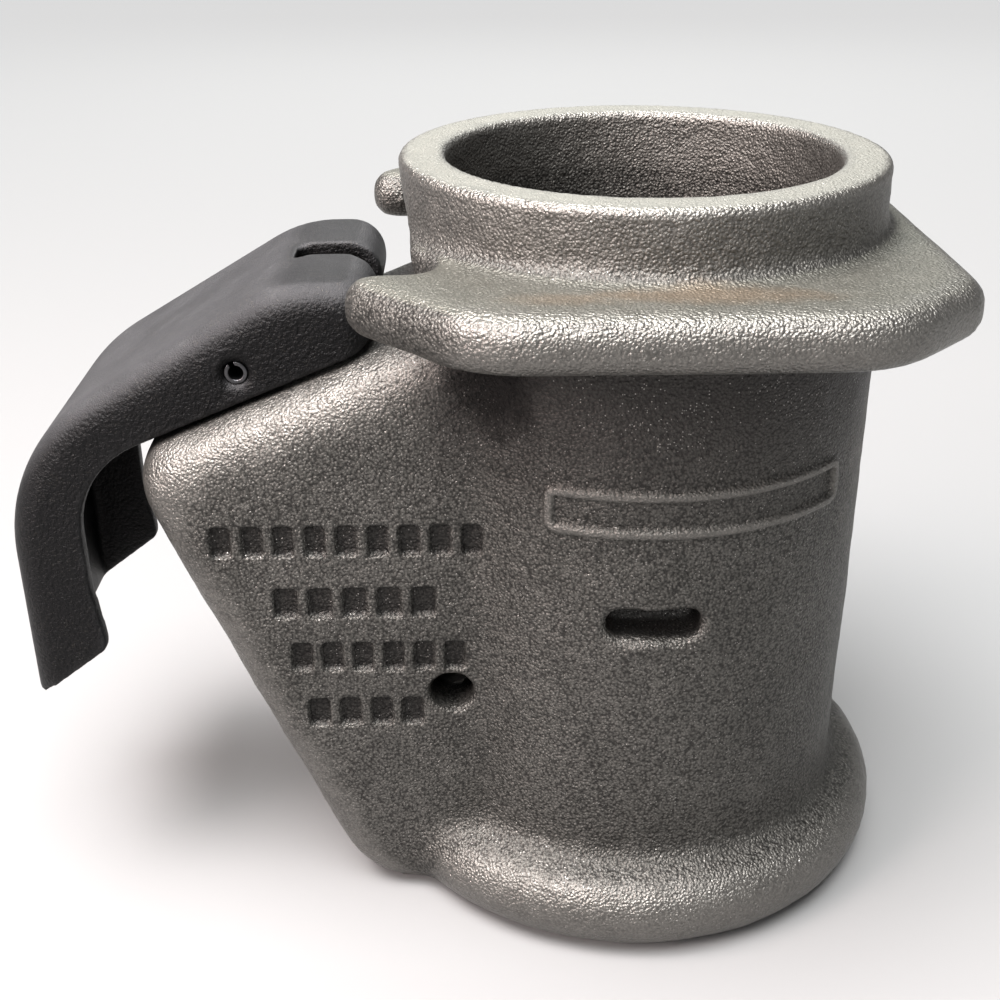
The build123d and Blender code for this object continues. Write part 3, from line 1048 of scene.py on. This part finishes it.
def dress_skin(piece: bpy.types.Object, tree: bpy.types.NodeTree, settings: SkinSettings,
               material: bpy.types.Material) -> None:
    """Run the skin tree over a piece and keep the result.

    Args:
        piece: The piece, with its as_cast attribute stored.
        tree: The skin tree.
        settings: Its values.
        material: The finish.
    """
    grow(piece, tree, {
        "Softening": settings.softening, "Wide Softening": settings.wide_softening,
        "Swell Depth": settings.swell_depth, "Swell Frequency": 1.0 / settings.swell_size,
        "Lump Depth": settings.lump_depth, "Lump Frequency": 1.0 / settings.lump_size,
        "Material": material})


def dress(piece: bpy.types.Object, material: bpy.types.Material) -> None:
    """Give a piece one material.

    Args:
        piece: The piece or CAD node.
        material: The finish.
    """
    if piece.material_slots:
        for held in piece.material_slots:
            held.material = material
    else:
        piece.data.materials.append(material)


def hand_in(piece: bpy.types.Object, body: Body, slot: Slot, *nodes: str) -> None:
    """Hide the CAD nodes that a finished piece stands for, attach it to its body and log it.

    Args:
        piece: The piece.
        body: The body that it moves with.
        slot: Not used.
        nodes: The CAD nodes that it stands for.
    """
    if nodes:
        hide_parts(*nodes)
    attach(piece, body.value)
    log.info("%s: %d faces, rides on %s", piece.name, len(piece.data.polygons), body.value)


# ---------------------------------------------------------------------------------------------------
# The object's own frame of travel
# ---------------------------------------------------------------------------------------------------


@dataclass(frozen=True)
class TravelLine:
    """The latch's line of travel, along the stem's axis."""

    up: Vector
    out: Vector
    pin: Vector

    @classmethod
    def from_frame(cls) -> "TravelLine":
        """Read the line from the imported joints.

        Returns:
            The line through the handle's pin.
        """
        joints = {joint["name"]: joint for joint in frame["joints"]}
        up = Vector(joints["latch_slide"]["axis"]).normalized()
        return cls(up=up, out=Vector((up.z, 0.0, -up.x)), pin=Vector(joints["handle_hinge"]["pos_m"]))

    def heights(self, node: str) -> tuple[float, float]:
        """A node's lowest and highest place along the line.

        Args:
            node: The CAD node.

        Returns:
            The two heights above the origin, in metres.
        """
        places = points_of(frame["nodes"][node].data) @ np.array(self.up)
        return float(places.min()), float(places.max())

    def at(self, height: float) -> Vector:
        """The point of the stem's axis at a height along the line.

        Args:
            height: Metres along the line, from the origin's level.

        Returns:
            The point.
        """
        return self.pin + self.up * (height - self.pin.dot(self.up))


# ---------------------------------------------------------------------------------------------------
# Sub-assemblies
# ---------------------------------------------------------------------------------------------------


@dataclass(frozen=True)
class Mark:
    """One plain rounded bar on a face: its centre, half-sizes, corner radius and turn, in millimetres."""

    across: float
    up: float
    half_length: float
    half_height: float
    corner: float = 1.0
    turn: float = 0.0

    def distance(self, across: np.ndarray, up: np.ndarray) -> np.ndarray:
        """How far points of the face lie outside the bar.

        Args:
            across: The points' places along the face.
            up: Their heights.

        Returns:
            Millimetres from the bar's outline, negative inside.
        """
        cosine, sine = math.cos(self.turn), math.sin(self.turn)
        side = abs((across - self.across) * cosine + (up - self.up) * sine) - self.half_length + self.corner
        rise = abs((up - self.up) * cosine - (across - self.across) * sine) - self.half_height + self.corner
        outside = np.hypot(np.maximum(side, 0.0), np.maximum(rise, 0.0))
        return outside + np.minimum(np.maximum(side, rise), 0.0) - self.corner


@dataclass
class FoundryMarks:
    """Plain marks where a foundry puts its data: rows of sunk bars, and one raised frame."""

    rows: tuple[tuple[float, float, float, int], ...] = (
        (-62.5, 93.0, 56.0, 9),
        (-61.5, 78.4, 34.0, 5),
        (-57.0, 65.1, 37.0, 6),
        (-60.3, 50.8, 25.0, 4),
    )
    bar_height: float = 6.8
    gap: float = 2.3
    sunk: float = 1.3
    shoulder: float = 0.7
    frame_mark: Mark = Mark(10.0, 104.6, 33.0, 5.0, 2.6)
    frame_line: float = 1.9
    raised: float = 0.9
    side_face: float = 38.0
    barrel_radius: float = 51.4
    skin_depth: float = 2.0
    fine_margin: float = 2.5

    def bars(self) -> list[Mark]:
        """The sunk bars.

        Returns:
            One mark for each bar.
        """
        found = []
        for centre_x, centre_z, length, count in self.rows:
            pitch = (length + self.gap) / count
            for place in range(count):
                x = centre_x - (length + self.gap) / 2 + pitch * (place + 0.5)
                found.append(Mark(x, centre_z, (pitch - self.gap) / 2, self.bar_height / 2))
        return found

    def around(self, places: np.ndarray) -> tuple[np.ndarray, np.ndarray]:
        """The barrel's front, unrolled.

        Args:
            places: The vertices' places, in metres.

        Returns:
            Each vertex's distance round the barrel from its front, and whether it is on the barrel's skin.
        """
        x, y, _ = (places / MM).T
        on_skin = (np.hypot(x, y) > self.barrel_radius - self.skin_depth) & (y < 0.0)
        return self.barrel_radius * np.arctan2(x, -y), on_skin

    def zone(self, places: np.ndarray) -> np.ndarray:
        """Where the skin is made finer for the marks.

        Args:
            places: The vertices' places, in metres.

        Returns:
            Whether each is inside.
        """
        x, y, z = (places / MM).T
        inside = np.zeros(len(places), bool)
        half_height = self.bar_height / 2 + self.fine_margin
        for centre_x, centre_z, length, _ in self.rows:
            inside |= (abs(x - centre_x) < length / 2 + self.fine_margin) & (abs(z - centre_z) < half_height)
        inside &= y < 1.5 - self.side_face
        along, on_skin = self.around(places)
        return inside | (on_skin & (self.frame_mark.distance(along, z) < self.fine_margin))

    def press(self, mesh: bpy.types.Mesh) -> None:
        """Press the marks into the skin.

        Args:
            mesh: The casting's mesh.
        """
        places = points_of(mesh)
        x, y, z = (places / MM).T
        pressed = np.zeros(len(places))
        for bar in self.bars():
            pressed = np.maximum(pressed, ramp(0.5 - bar.distance(x, z) / self.shoulder, 0.0, 1.0))
        pressed *= y < self.skin_depth - self.side_face
        along, on_skin = self.around(places)
        ridge = abs(self.frame_mark.distance(along, z) + self.frame_line / 2) - self.frame_line / 2
        lifted = ramp(0.5 - ridge / self.shoulder, 0.0, 1.0) * on_skin
        store(mesh, "recess", pressed)
        store(mesh, "raised", lifted)
        places[:, 1] += pressed * self.sunk * MM
        outwards = np.stack([x, y], axis=1) / np.hypot(x, y)[:, None].clip(1.0)
        places[:, :2] += outwards * lifted[:, None] * self.raised * MM
        mesh.vertices.foreach_set("co", places.ravel())
        mesh.update()


@dataclass(frozen=True)
class Zone:
    """A pair of boxes mirrored in the middle plane, in millimetres; y is the distance from that plane."""

    x: Span
    y: Span
    z: Span

    def holds(self, places: np.ndarray) -> np.ndarray:
        """Find the vertices inside.

        Args:
            places: The vertices' places, in metres.

        Returns:
            Whether each is inside.
        """
        x, y, z = (places / MM).T
        found = np.ones(len(places), bool)
        for values, (low, high) in ((x, self.x), (abs(y), self.y), (z, self.z)):
            found &= (values > low) & (values < high)
        return found


@dataclass
class Casting:
    """The one-piece cast body."""

    pitch: float = 1.90 * MM
    skin: SkinSettings = SkinSettings(softening=5, wide_softening=18, swell_depth=0.9 * MM,
                                      swell_size=19 * MM, lump_depth=0.30 * MM, lump_size=4.0 * MM)
    marks: FoundryMarks = field(default_factory=FoundryMarks)
    line: TravelLine = field(default_factory=TravelLine.from_frame)
    fit_margin: float = 1.2 * MM
    ring_foot: float = 152 * MM
    ease_passes: int = 40
    machined_above: float = 162 * MM
    machined_below: float = 1.0 * MM
    flange_heights: Span = (137 * MM, 153 * MM)
    flange_softening: float = 0.35
    chain_slot: Zone = Zone(x=(-14.0, 14.0), y=(38.0, math.inf), z=(71.5, 87.5))
    ears: Zone = Zone(x=(-math.inf, -38.0), y=(18.0, math.inf), z=(137.0, 153.0))
    cross_hole: tuple[float, float, float] = (-41.5, 55.7, 9.0)
    cross_hole_start: float = 28.0
    top_edge: Span = (118.0, 128.0)
    back_edge: Span = (50.0, 56.0)
    side_edge: Span = (27.0, 31.0)
    clear_of_barrel: Span = (40.0, 48.0)

    def as_cast(self, places: np.ndarray) -> np.ndarray:
        """Where the skin is raw, as against machined or guiding a moving piece.

        Args:
            places: The vertices' places, in metres.

        Returns:
            1 on raw skin and 0 where a piece fits, for each vertex.
        """
        block_low, _ = self.line.heights("latch_block")
        _, washer_high = self.line.heights("upper_spring_washer")
        _, bush_high = self.line.heights("stem_guide_bush")
        _, block_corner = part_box("latch_block")
        offsets = places - np.array(self.line.pin)
        along = places @ np.array(self.line.up)
        out = offsets @ np.array(self.line.out)
        block_out = points_of(frame["nodes"]["latch_block"].data) @ np.array(self.line.out)
        own_out = places @ np.array(self.line.out)
        margin = self.fit_margin
        pocket = (own_out > block_out.min() - margin) & (own_out < block_out.max() + margin)
        pocket &= (abs(places[:, 1]) < block_corner.y + margin)
        pocket &= (along > block_low - margin) & (along < washer_high + margin)
        _, bush_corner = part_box("stem_guide_bush")
        hole = np.hypot(out, places[:, 1]) < bush_corner.y + margin
        hole &= (along > washer_high - margin) & (along < bush_high - margin)
        machined = (places[:, 2] > self.machined_above) | (places[:, 2] < self.machined_below)
        share = 1.0 - (pocket | hole | machined).astype(float)
        flange_low, flange_high = self.flange_heights
        flange = (places[:, 2] > flange_low) & (places[:, 2] < flange_high)
        return np.where(flange, self.flange_softening * share, share)

    def ease_share(self, places: np.ndarray) -> np.ndarray:
        """Where the housing's outer edges are more rounded than elsewhere.

        Args:
            places: The vertices' places, in metres.

        Returns:
            The share of extra easing, from 0 to 1, for each vertex.
        """
        along = places @ np.array(self.line.up) / MM
        back = -(places @ np.array(self.line.out)) / MM
        edges = np.maximum(ramp(along, *self.top_edge), ramp(back, *self.back_edge))
        side = ramp(abs(places[:, 1]) / MM, *self.side_edge)
        return edges * side * ramp(-places[:, 0] / MM, *self.clear_of_barrel)

    def detail_zone(self, places: np.ndarray) -> np.ndarray:
        """Where small features need a finer skin.

        Args:
            places: The vertices' places, in metres.

        Returns:
            Whether each is inside.
        """
        x, y, z = (places / MM).T
        hole_x, hole_z, reach = self.cross_hole
        hole = (np.hypot(x - hole_x, z - hole_z) < reach) & (abs(y) > self.cross_hole_start)
        return hole | self.chain_slot.holds(places) | self.marks.zone(places)

    def edge_zone(self, places: np.ndarray) -> np.ndarray:
        """Where the ring and the flange's ears need a somewhat finer skin.

        Args:
            places: The vertices' places, in metres.

        Returns:
            Whether each is inside.
        """
        return self.ears.holds(places) | (places[:, 2] > self.ring_foot)

    def build(self, tree: bpy.types.NodeTree, material: bpy.types.Material) -> bpy.types.Object:
        """Build and dress the casting.

        Args:
            tree: The skin tree.
            material: The cast iron.

        Returns:
            The casting.
        """
        piece = copied_shell("coupler_body", "cast_body")
        even_skin(piece, self.pitch)
        refine(piece, lambda places: self.detail_zone(places) | self.edge_zone(places))
        refine(piece, self.detail_zone)
        lie_on(piece, "coupler_body")
        ease(piece, self.ease_share(points_of(piece.data)), self.ease_passes)
        store(piece.data, "as_cast", self.as_cast(points_of(piece.data)))
        dress_skin(piece, tree, self.skin, material)
        self.marks.press(piece.data)
        piece.data.shade_smooth()
        hand_in(piece, Body.CASTING, Slot.CAST_IRON, "coupler_body")
        return piece


@dataclass
class Lever:
    """The black handle and its roll pin."""

    pitch: float = 0.72 * MM
    skin: SkinSettings = SkinSettings(softening=3, wide_softening=16)

    def build(self, tree: bpy.types.NodeTree, moulding: bpy.types.Material,
              steel: bpy.types.Material) -> bpy.types.Object:
        """Build and dress the handle and its pin.

        Args:
            tree: The skin tree.
            moulding: The handle's finish.
            steel: The roll pin's finish.

        Returns:
            The handle.
        """
        piece = copied_shell("handle", "lever_handle")
        even_skin(piece, self.pitch)
        store(piece.data, "as_cast", np.ones(len(piece.data.vertices)))
        dress_skin(piece, tree, self.skin, moulding)
        piece.data.shade_smooth()
        hand_in(piece, Body.LEVER, Slot.BLACK_MOULDING, "handle")
        eased_copy("handle_roll_pin", "lever_roll_pin", 0.25 * MM, steel, Body.LEVER, Slot.SPRING_STEEL)
        return piece


FLAT_ANGLE = math.radians(0.6)
EASED_ANGLE = math.radians(40.0)
SHARP_ANGLE = math.radians(35.0)


def eased_copy(node: str, name: str, ease: float, material: bpy.types.Material, body: Body,
               slot: Slot) -> bpy.types.Object:
    """A copy of a machined CAD node with its sharp edges eased.

    Args:
        node: The CAD node.
        name: The piece's name.
        ease: The eased edge's width in metres.
        material: The finish.
        body: The body that it moves with.
        slot: Its material slot.

    Returns:
        The piece.
    """
    piece = copied_shell(node, name)
    work = bmesh.new()
    work.from_mesh(piece.data)
    bmesh.ops.dissolve_limit(work, angle_limit=FLAT_ANGLE, verts=work.verts, edges=work.edges)
    work.to_mesh(piece.data)
    work.free()
    bevel = piece.modifiers.new("ease", "BEVEL")
    bevel.width = ease
    bevel.segments = 2
    bevel.limit_method = "ANGLE"
    bevel.angle_limit = EASED_ANGLE
    settle(piece)
    piece.data.shade_smooth()
    piece.data.set_sharp_from_angle(angle=SHARP_ANGLE)
    dress(piece, material)
    hand_in(piece, body, slot, node)
    return piece


@dataclass
class Latch:
    """The sliding block, its stem, and the spring with its washers and bush."""

    wire_diameter: float = 3.2 * MM
    coil_radius: float = 9.4 * MM
    turns: float = 8.0
    closed_turns: float = 1.0
    wire_sides: int = 14
    steps_a_turn: int = 40
    line: TravelLine = field(default_factory=TravelLine.from_frame)

    def spring_tree(self) -> bpy.types.NodeTree:
        """Geometry Nodes for a compression spring with closed ends.

        Returns:
            The tree, with named inputs for the spring's sizes.
        """
        graph, given = new_geometry_tree("compression_spring", {
            "Wire Radius": "Float", "Coil Radius": "Float", "Length": "Float", "Turns": "Float",
            "Closed Turns": "Float", "Steps": "Int", "Wire Sides": "Int", "Material": "Material"})
        line = graph.wired("GeometryNodeMeshLine", {"Count": given.outputs["Steps"]}, mode="OFFSET")
        index = graph.node("GeometryNodeInputIndex").outputs[0]
        last = graph.maths("SUBTRACT", given.outputs["Steps"], 1.0)
        turn = graph.maths("MULTIPLY", graph.maths("DIVIDE", index, last), given.outputs["Turns"])
        angle = graph.maths("MULTIPLY", turn, 2.0 * math.pi)

        # The closed turns lie against their neighbours, and the turns between share the rest.
        wire = graph.maths("MULTIPLY", given.outputs["Wire Radius"], 2.0)
        dead = given.outputs["Closed Turns"]
        both_ends = graph.maths("MULTIPLY", dead, 2.0)
        live = graph.maths("SUBTRACT", given.outputs["Turns"], both_ends)
        reach = graph.maths("SUBTRACT", given.outputs["Length"], wire)
        spare = graph.maths("SUBTRACT", reach, graph.maths("MULTIPLY", both_ends, wire))
        pitch = graph.maths("DIVIDE", spare, live)
        past = graph.maths("SUBTRACT", turn, dead)
        below = graph.maths("MINIMUM", turn, dead)
        between = graph.maths("MINIMUM", graph.maths("MAXIMUM", past, 0.0), live)
        above = graph.maths("MAXIMUM", graph.maths("SUBTRACT", past, live), 0.0)
        closed = graph.maths("MULTIPLY", graph.maths("ADD", below, above), wire)
        height = graph.maths("ADD", closed, graph.maths("MULTIPLY", between, pitch))
        radius = given.outputs["Coil Radius"]
        place = graph.wired("ShaderNodeCombineXYZ", {
            0: graph.maths("MULTIPLY", graph.maths("COSINE", angle), radius),
            1: graph.maths("MULTIPLY", graph.maths("SINE", angle), radius),
            2: graph.maths("ADD", height, given.outputs["Wire Radius"])})
        feeds = {"Geometry": line.outputs[0], "Position": place.outputs[0]}
        bent = graph.wired("GeometryNodeSetPosition", feeds)
        curve = graph.wired("GeometryNodeMeshToCurve", {0: bent.outputs[0]})
        feeds = {"Resolution": given.outputs["Wire Sides"], "Radius": given.outputs["Wire Radius"]}
        section = graph.wired("GeometryNodeCurvePrimitiveCircle", feeds, mode="RADIUS")
        feeds = {"Curve": curve.outputs[0], "Profile Curve": section.outputs[0], "Fill Caps": True}
        tube = graph.wired("GeometryNodeCurveToMesh", feeds)
        return close_geometry_tree(graph, given, tube.outputs[0])

    def build_spring(self, material: bpy.types.Material) -> bpy.types.Object:
        """Build the spring between its two washers.

        Args:
            material: The spring steel.

        Returns:
            The spring.
        """
        _, low = self.line.heights("lower_spring_washer")
        high, _ = self.line.heights("upper_spring_washer")
        piece = new_piece("latch_coil_spring", bpy.data.meshes.new("latch_coil_spring"))
        grow(piece, self.spring_tree(), {
            "Wire Radius": self.wire_diameter / 2, "Coil Radius": self.coil_radius, "Length": high - low,
            "Turns": self.turns, "Closed Turns": self.closed_turns,
            "Steps": int(self.turns * self.steps_a_turn) + 1, "Wire Sides": self.wire_sides,
            "Material": material})
        turn = self.line.up.to_track_quat("Z", "Y").to_matrix().to_4x4()
        piece.data.transform(Matrix.Translation(self.line.at(low)) @ turn)
        work = bmesh.new()
        work.from_mesh(piece.data)
        bmesh.ops.recalc_face_normals(work, faces=work.faces)
        work.to_mesh(piece.data)
        work.free()
        piece.data.shade_smooth()
        hand_in(piece, Body.CASTING, Slot.SPRING_STEEL, "latch_spring")
        tuple(self.line.at(high))
        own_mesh(piece)
        return piece

    def build(self, iron: bpy.types.Material, steel: bpy.types.Material, wire: bpy.types.Material,
              bronze: bpy.types.Material) -> None:
        """Build and dress every piece of the latch.

        Args:
            iron: The block's finish.
            steel: The stem, pin and washers' finish.
            wire: The spring's finish.
            bronze: The guide bush's finish.
        """
        eased_copy("latch_block", "sliding_block", 0.6 * MM, iron, Body.LATCH, Slot.BLOCK_IRON)
        eased_copy("latch_stem", "lift_stem", 0.35 * MM, steel, Body.LATCH, Slot.BRIGHT_STEEL)
        eased_copy("stem_block_pin", "block_cross_pin", 0.4 * MM, steel, Body.LATCH, Slot.BRIGHT_STEEL)
        eased_copy("lower_spring_washer", "lower_washer", 0.25 * MM, steel, Body.LATCH, Slot.BRIGHT_STEEL)
        eased_copy("upper_spring_washer", "upper_washer", 0.25 * MM, steel, Body.CASTING, Slot.BRIGHT_STEEL)
        eased_copy("stem_guide_bush", "guide_bush", 0.3 * MM, bronze, Body.CASTING, Slot.BRONZE)
        self.build_spring(wire)


@dataclass(frozen=True)
class Lamp:
    """One soft square light."""

    name: str
    place: Place
    aim: Place
    size: float
    watts: float
    tint: Colour

    def hang(self) -> None:
        """Hang it, pointing at its aim."""
        light = bpy.data.lights.new(self.name, "AREA")
        light.size = self.size
        light.energy = self.watts
        light.color = self.tint
        lamp = bpy.data.objects.new(self.name, light)
        bpy.context.scene.collection.objects.link(lamp)
        turn = (Vector(self.aim) - Vector(self.place)).to_track_quat("-Z", "Y").to_matrix().to_4x4()
        lamp.matrix_world = Matrix.Translation(self.place) @ turn


MIDDLE: Place = (0.0, 0.0, 0.09)
LAMPS = (
    Lamp("behind", (0.05, 1.10, 0.80), MIDDLE, 0.9, 4.5, (0.97, 1.0, 0.97)),
    Lamp("over_housing", (-0.34, -0.12, 0.55), (-0.06, 0.0, 0.12), 0.22, 3.6, (1.0, 0.87, 0.85)),
    Lamp("front", (-0.20, -0.75, 0.60), (-0.02, 0.0, 0.12), 0.30, 2.2, (1.0, 0.97, 0.95)),
    Lamp("front_left", (-0.85, -0.55, 0.55), MIDDLE, 0.32, 11.0, (1.0, 0.85, 0.82)),
    Lamp("right", (0.9, -0.45, 0.30), MIDDLE, 0.3, 0.4, (0.94, 0.97, 1.0)),
)


@dataclass
class Studio:
    """The floor, the lights and the camera."""

    eye: Place = (-0.0353, -0.2874, 0.2247)
    look: Place = (0.0162, 0.8973, -0.4411)
    roll: float = -0.006
    lens: float = 49.3
    floor_half: float = 6.0
    floor_grey: float = 0.23
    sun_from: Place = (-0.13, -0.20, 0.95)
    sun_strength: float = 9.5
    sun_spread: float = 0.85
    air: float = 0.14
    backdrop: float = 0.62

    def camera(self) -> None:
        """Place the camera."""
        lens = bpy.data.cameras.new("camera")
        lens.lens = self.lens
        lens.sensor_width = 36.0
        lens.clip_start = 0.01
        camera = bpy.data.objects.new("camera", lens)
        bpy.context.scene.collection.objects.link(camera)
        turn = Vector(self.look).to_track_quat("-Z", "Y").to_matrix().to_4x4()
        camera.matrix_world = Matrix.Translation(self.eye) @ turn @ Matrix.Rotation(self.roll, 4, "Z")
        bpy.context.scene.camera = camera

    def sky(self) -> None:
        """Add wide even light from one side, the same over the whole floor."""
        light = bpy.data.lights.new("sky", "SUN")
        light.energy = self.sun_strength
        light.angle = self.sun_spread
        lamp = bpy.data.objects.new("sky", light)
        bpy.context.scene.collection.objects.link(lamp)
        lamp.matrix_world = Vector(self.sun_from).to_track_quat("Z", "Y").to_matrix().to_4x4()

    def floor(self) -> None:
        """Lay the pale floor."""
        mesh = bpy.data.meshes.new("floor")
        half = self.floor_half
        mesh.from_pydata([(-half, -half, 0), (half, -half, 0), (half, half, 0), (-half, half, 0)], [],
                         [(0, 1, 2, 3)])
        floor = new_piece("floor", mesh)
        material = bpy.data.materials.new("pale_floor")
        material.use_nodes = True
        shader = material.node_tree.nodes["Principled BSDF"]
        shader.inputs["Base Color"].default_value = (*[self.floor_grey] * 3, 1.0)
        shader.inputs["Roughness"].default_value = 0.9
        shader.inputs["Specular IOR Level"].default_value = 0.1
        mesh.materials.append(material)

    def surroundings(self) -> None:
        """Set the even white light from all round, and the brighter backdrop that only a camera meets."""
        world = bpy.data.worlds.new("air")
        world.use_nodes = True
        background = world.node_tree.nodes["Background"]
        background.inputs["Color"].default_value = (1.0, 1.0, 1.0, 1.0)
        graph = Graph(world.node_tree)
        seen = graph.node("ShaderNodeLightPath").outputs["Is Camera Ray"]
        graph.feed(background.inputs["Strength"], graph.step(seen, 0.0, 1.0, self.air, self.backdrop))
        bpy.context.scene.world = world

    def build(self) -> None:
        """Set up the whole studio."""
        self.floor()
        self.surroundings()
        self.sky()
        for lamp in LAMPS:
            lamp.hang()
        self.camera()
        bpy.context.scene.view_settings.view_transform = "Standard"


def main() -> None:
    """Build the coupler and the studio."""
    logging.basicConfig(level=logging.INFO, format="%(name)s: %(message)s")
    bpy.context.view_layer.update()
    Studio().build()
    effects = SharedEffects()
    stains = (
        RustStain(centre=(0.008, -0.057, 0.151), reach=(0.034, 0.008, 0.010), share=0.30),
        RustStain(centre=(-0.020, -0.058, 0.150), reach=(0.018, 0.006, 0.008), share=0.20),
        RustStain(centre=(0.040, 0.005, 0.100), reach=(0.020, 0.045, 0.060), share=0.25),
    )
    iron = CastIronFinish(effects, stains=stains, pit_centre=(-0.032, -0.040, 0.128)).material()
    block_iron = MetalFinish(effects, name="block_iron", base=(0.22, 0.21, 0.20), stained=(0.10, 0.09, 0.085),
                             metallic=0.8, roughness=0.5, lay_size=0.6 * MM, lay_depth=0.06 * MM).material()
    steel = MetalFinish(effects).material()
    wire = MetalFinish(effects, name="spring_steel", base=(0.085, 0.085, 0.09), stained=(0.045, 0.042, 0.04),
                       roughness=0.38).material()
    bronze = MetalFinish(effects, name="sintered_bronze", base=(0.55, 0.36, 0.16), stained=(0.30, 0.19, 0.09),
                         roughness=0.42).material()
    moulding = MouldedFinish(effects).material()
    tree = SkinTree().build()
    Casting().build(tree, iron)
    Lever().build(tree, moulding, wire)
    Latch().build(block_iron, steel, wire, bronze)


if __name__ == "__main__":
    main()
